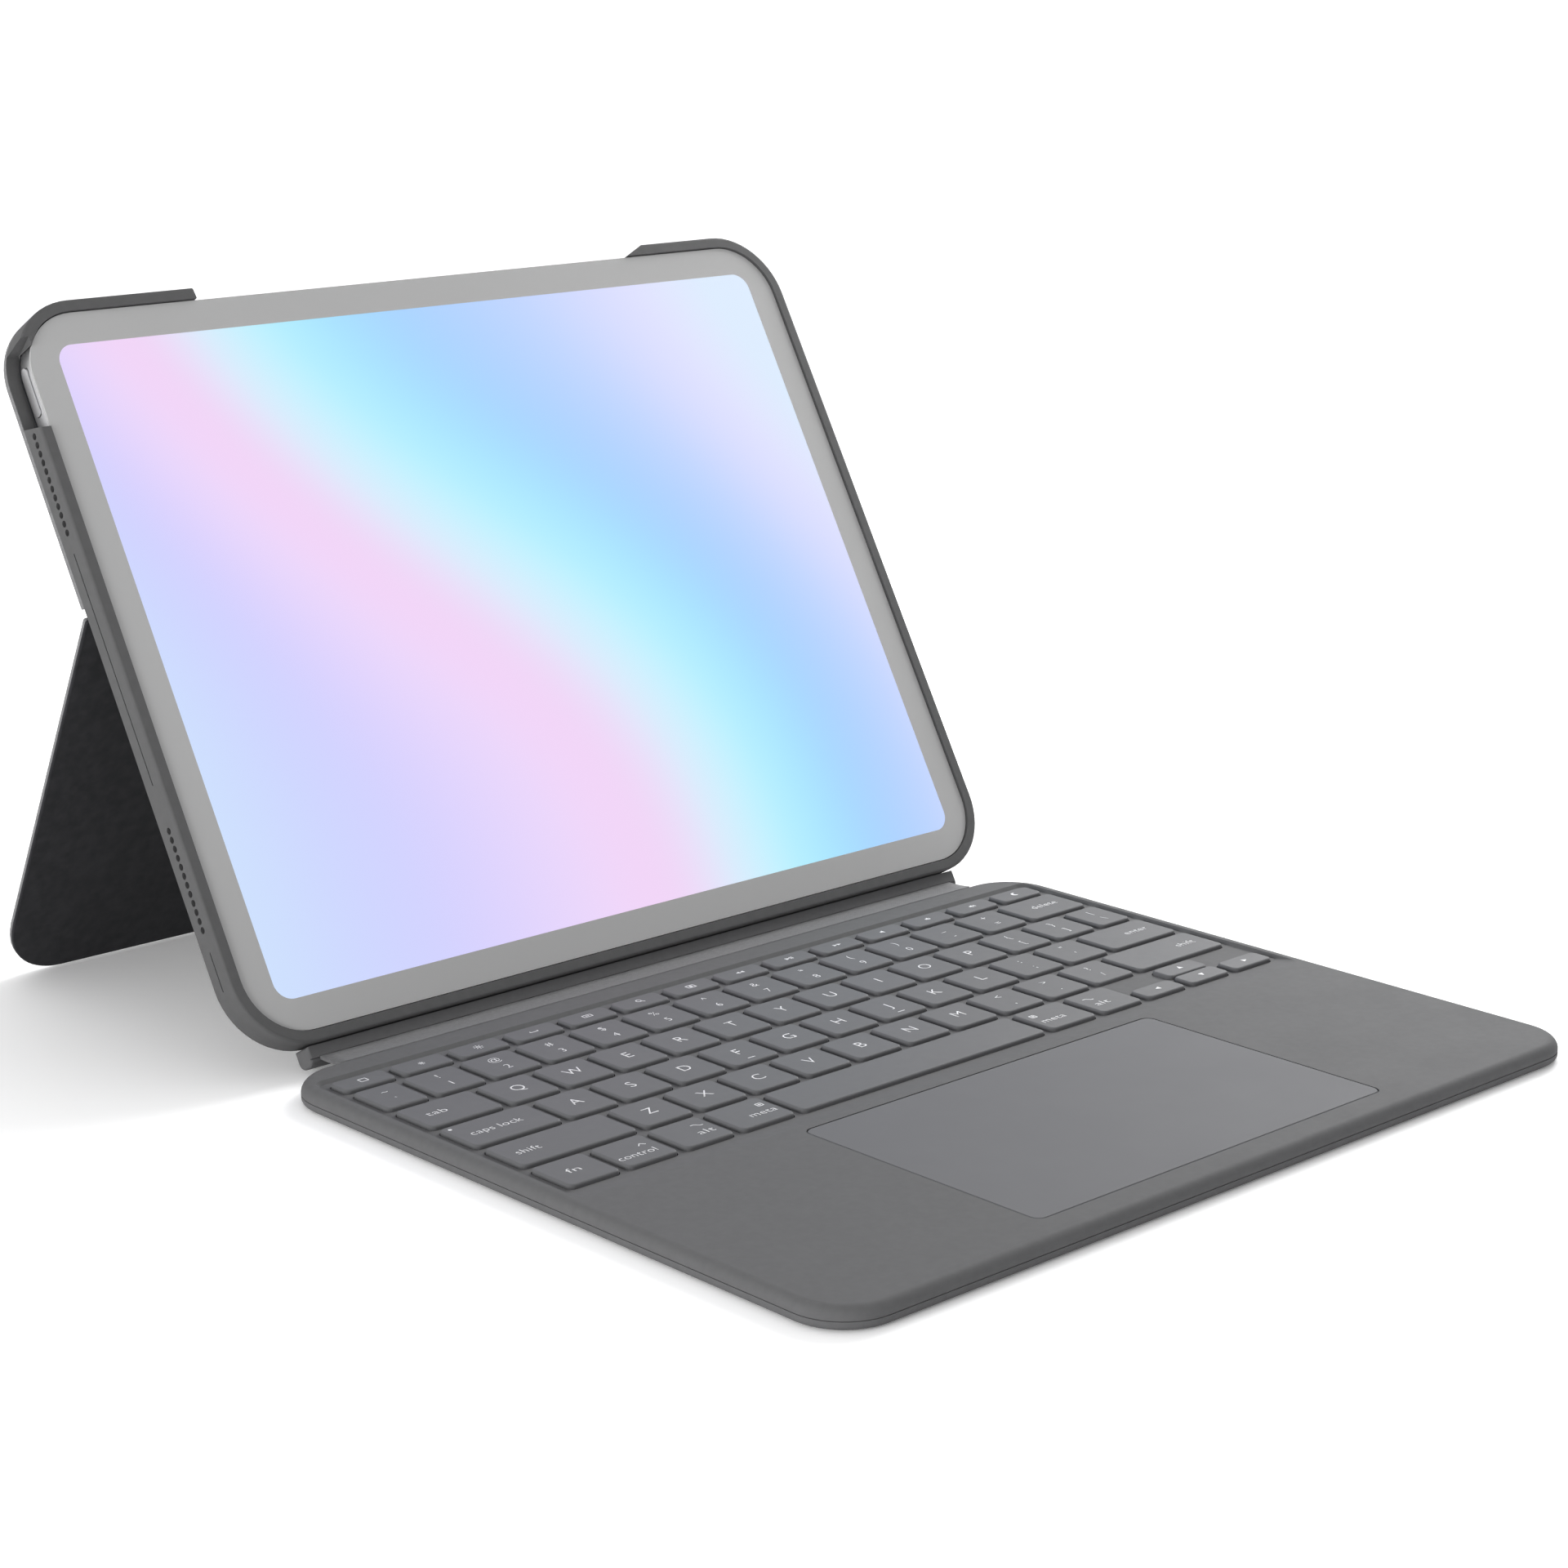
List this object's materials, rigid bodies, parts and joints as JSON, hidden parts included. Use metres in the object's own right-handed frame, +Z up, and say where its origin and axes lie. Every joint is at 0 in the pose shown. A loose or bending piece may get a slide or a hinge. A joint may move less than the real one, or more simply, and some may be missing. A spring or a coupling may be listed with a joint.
{
  "type": "tablet keyboard case",
  "caption": "Tablet case with a fold-out kickstand and a magnetically docked keyboard deck with trackpad, shown open with a tablet in it.",
  "frame": {"origin": "on the table under the middle of the whole open object", "axes": "+X to the user's right along the keys, +Y from the user towards the back, +Z up"},
  "size_m": [0.2896, 0.3639, 0.203],
  "materials": {
    "deck_fabric": "fine-grained soft-touch skin, mid grey",
    "hinge_cloth": "dense woven hinge fabric, grey",
    "panel_cloth": "close woven cover cloth, grey",
    "shell_polymer": "matte flexible case polymer, grey",
    "dark_lining": "short-pile microfibre, charcoal",
    "key_plastic": "matte moulded keycap, grey",
    "trackpad_surface": "satin etched glass, blue-grey",
    "hinge_steel": "stamped spring steel",
    "membrane_film": "amber flexible circuit film",
    "dome_rubber": "translucent grey silicone",
    "magnet_plating": "nickel plated",
    "contact_gold": "gold plated contact",
    "black_polymer": "black moulded polymer",
    "circuit_board": "solder mask with packages",
    "tablet_metal": "fine blasted anodised",
    "bezel_glass": "flat grey border behind clear glass",
    "display_screen": "lit display, pale blue abstract picture"
  },
  "bodies": {
    "keyboard": {"deck_bottom_shell": "deck_fabric", "deck_top_cover": "deck_fabric", "key_base_plate": "hinge_steel", "key_membrane": "membrane_film", "key_domes": "dome_rubber", "scissor_links": "hinge_steel", "trackpad_frame": "hinge_steel", "trackpad_switch": "dome_rubber", "controller_board": "circuit_board", "deck_flex_cable": "membrane_film", "palm_rest_foam": "dome_rubber", "deck_magnets": "magnet_plating", "hinge_fabric": "hinge_cloth"},
    "trackpad": {"trackpad_plate": "trackpad_surface"},
    "connector_bar": {"connector_bar_shell": "deck_fabric", "bar_magnets": "magnet_plating", "bar_contact_block": "black_polymer", "bar_contact_pins": "contact_gold"},
    "case": {"case_shell": "shell_polymer", "case_lining": "dark_lining", "case_back_panel": "panel_cloth", "camera_ring": "shell_polymer", "case_magnets": "magnet_plating", "case_contacts": "contact_gold", "case_flex_cable": "membrane_film", "hinge_case_leaves": "hinge_steel", "hinge_pins": "hinge_steel"},
    "kickstand": {"stand_cover": "panel_cloth", "stand_core": "black_polymer", "stand_lining": "dark_lining", "hinge_stand_leaves": "hinge_steel"},
    "tablet": {"tablet_enclosure": "tablet_metal", "tablet_bezel_glass": "bezel_glass", "tablet_display": "display_screen", "tablet_battery": "black_polymer", "tablet_camera": "tablet_metal"},
    "tablet_button": {"power_button": "tablet_metal"},
    "function_keys_body": {"function_keys": "key_plastic"},
    "number_keys_body": {"number_keys": "key_plastic"},
    "delete_key_body": {"delete_key": "key_plastic"},
    "tab_key_body": {"tab_key": "key_plastic"},
    "upper_letter_keys_body": {"upper_letter_keys": "key_plastic"},
    "caps_lock_key_body": {"caps_lock_key": "key_plastic"},
    "home_letter_keys_body": {"home_letter_keys": "key_plastic"},
    "return_key_body": {"return_key": "key_plastic"},
    "left_shift_key_body": {"left_shift_key": "key_plastic"},
    "lower_letter_keys_body": {"lower_letter_keys": "key_plastic"},
    "right_shift_key_body": {"right_shift_key": "key_plastic"},
    "fn_key_body": {"fn_key": "key_plastic"},
    "control_key_body": {"control_key": "key_plastic"},
    "left_alt_key_body": {"left_alt_key": "key_plastic"},
    "left_meta_key_body": {"left_meta_key": "key_plastic"},
    "space_bar_body": {"space_bar": "key_plastic"},
    "right_meta_key_body": {"right_meta_key": "key_plastic"},
    "right_alt_key_body": {"right_alt_key": "key_plastic"},
    "left_arrow_key_body": {"left_arrow_key": "key_plastic"},
    "up_arrow_key_body": {"up_arrow_key": "key_plastic"},
    "down_arrow_key_body": {"down_arrow_key": "key_plastic"},
    "right_arrow_key_body": {"right_arrow_key": "key_plastic"}
  },
  "joints": [
    {"name": "case_fold", "type": "hinge", "parent": "keyboard", "child": "connector_bar", "pos_m": [0, 0.04355, 0.0067], "axis": [-1, 0, 0], "range_deg": [-120, 60], "deforming": ["hinge_fabric"]},
    {"name": "case_detach", "type": "slide", "parent": "connector_bar", "child": "case", "axis": [0, 0.5, 0.866], "range_m": [0, 0.04]},
    {"name": "tablet_removal", "type": "slide", "parent": "case", "child": "tablet", "axis": [0, -0.866, 0.5], "range_m": [0, 0.05]},
    {"name": "kickstand_hinge", "type": "hinge", "parent": "case", "child": "kickstand", "pos_m": [0, 0.1216, 0.12053], "axis": [1, 0, 0], "range_deg": [-56.34, 70]},
    {"name": "power_button_press", "type": "slide", "parent": "tablet", "child": "tablet_button", "axis": [1, 0, 0], "range_m": [0, 0.0003], "stiffness_N_per_m": 400, "springref_m": -0.0003},
    {"name": "trackpad_click", "type": "slide", "parent": "keyboard", "child": "trackpad", "axis": [0, 0, -1], "range_m": [0, 0.0004], "stiffness_N_per_m": 2500, "springref_m": -0.0004, "deforming": ["trackpad_switch"]},
    {"name": "function_press", "type": "slide", "parent": "keyboard", "child": "function_keys_body", "axis": [0, 0, -1], "range_m": [0, 0.0009], "stiffness_N_per_m": 300, "springref_m": -0.001},
    {"name": "number_press", "type": "slide", "parent": "keyboard", "child": "number_keys_body", "axis": [0, 0, -1], "range_m": [0, 0.0009], "stiffness_N_per_m": 300, "springref_m": -0.001},
    {"name": "delete_press", "type": "slide", "parent": "keyboard", "child": "delete_key_body", "axis": [0, 0, -1], "range_m": [0, 0.0009], "stiffness_N_per_m": 300, "springref_m": -0.001},
    {"name": "tab_press", "type": "slide", "parent": "keyboard", "child": "tab_key_body", "axis": [0, 0, -1], "range_m": [0, 0.0009], "stiffness_N_per_m": 300, "springref_m": -0.001},
    {"name": "upper_letter_press", "type": "slide", "parent": "keyboard", "child": "upper_letter_keys_body", "axis": [0, 0, -1], "range_m": [0, 0.0009], "stiffness_N_per_m": 300, "springref_m": -0.001},
    {"name": "caps_lock_press", "type": "slide", "parent": "keyboard", "child": "caps_lock_key_body", "axis": [0, 0, -1], "range_m": [0, 0.0009], "stiffness_N_per_m": 300, "springref_m": -0.001},
    {"name": "home_letter_press", "type": "slide", "parent": "keyboard", "child": "home_letter_keys_body", "axis": [0, 0, -1], "range_m": [0, 0.0009], "stiffness_N_per_m": 300, "springref_m": -0.001, "deforming": ["key_domes", "scissor_links"]},
    {"name": "return_press", "type": "slide", "parent": "keyboard", "child": "return_key_body", "axis": [0, 0, -1], "range_m": [0, 0.0009], "stiffness_N_per_m": 300, "springref_m": -0.001},
    {"name": "left_shift_press", "type": "slide", "parent": "keyboard", "child": "left_shift_key_body", "axis": [0, 0, -1], "range_m": [0, 0.0009], "stiffness_N_per_m": 300, "springref_m": -0.001},
    {"name": "lower_letter_press", "type": "slide", "parent": "keyboard", "child": "lower_letter_keys_body", "axis": [0, 0, -1], "range_m": [0, 0.0009], "stiffness_N_per_m": 300, "springref_m": -0.001},
    {"name": "right_shift_press", "type": "slide", "parent": "keyboard", "child": "right_shift_key_body", "axis": [0, 0, -1], "range_m": [0, 0.0009], "stiffness_N_per_m": 300, "springref_m": -0.001},
    {"name": "fn_press", "type": "slide", "parent": "keyboard", "child": "fn_key_body", "axis": [0, 0, -1], "range_m": [0, 0.0009], "stiffness_N_per_m": 300, "springref_m": -0.001},
    {"name": "control_press", "type": "slide", "parent": "keyboard", "child": "control_key_body", "axis": [0, 0, -1], "range_m": [0, 0.0009], "stiffness_N_per_m": 300, "springref_m": -0.001},
    {"name": "left_alt_press", "type": "slide", "parent": "keyboard", "child": "left_alt_key_body", "axis": [0, 0, -1], "range_m": [0, 0.0009], "stiffness_N_per_m": 300, "springref_m": -0.001},
    {"name": "left_meta_press", "type": "slide", "parent": "keyboard", "child": "left_meta_key_body", "axis": [0, 0, -1], "range_m": [0, 0.0009], "stiffness_N_per_m": 300, "springref_m": -0.001},
    {"name": "space_press", "type": "slide", "parent": "keyboard", "child": "space_bar_body", "axis": [0, 0, -1], "range_m": [0, 0.0009], "stiffness_N_per_m": 300, "springref_m": -0.001},
    {"name": "right_meta_press", "type": "slide", "parent": "keyboard", "child": "right_meta_key_body", "axis": [0, 0, -1], "range_m": [0, 0.0009], "stiffness_N_per_m": 300, "springref_m": -0.001},
    {"name": "right_alt_press", "type": "slide", "parent": "keyboard", "child": "right_alt_key_body", "axis": [0, 0, -1], "range_m": [0, 0.0009], "stiffness_N_per_m": 300, "springref_m": -0.001},
    {"name": "left_arrow_press", "type": "slide", "parent": "keyboard", "child": "left_arrow_key_body", "axis": [0, 0, -1], "range_m": [0, 0.0009], "stiffness_N_per_m": 300, "springref_m": -0.001},
    {"name": "up_arrow_press", "type": "slide", "parent": "keyboard", "child": "up_arrow_key_body", "axis": [0, 0, -1], "range_m": [0, 0.0009], "stiffness_N_per_m": 300, "springref_m": -0.001},
    {"name": "down_arrow_press", "type": "slide", "parent": "keyboard", "child": "down_arrow_key_body", "axis": [0, 0, -1], "range_m": [0, 0.0009], "stiffness_N_per_m": 300, "springref_m": -0.001},
    {"name": "right_arrow_press", "type": "slide", "parent": "keyboard", "child": "right_arrow_key_body", "axis": [0, 0, -1], "range_m": [0, 0.0009], "stiffness_N_per_m": 300, "springref_m": -0.001}
  ]
}
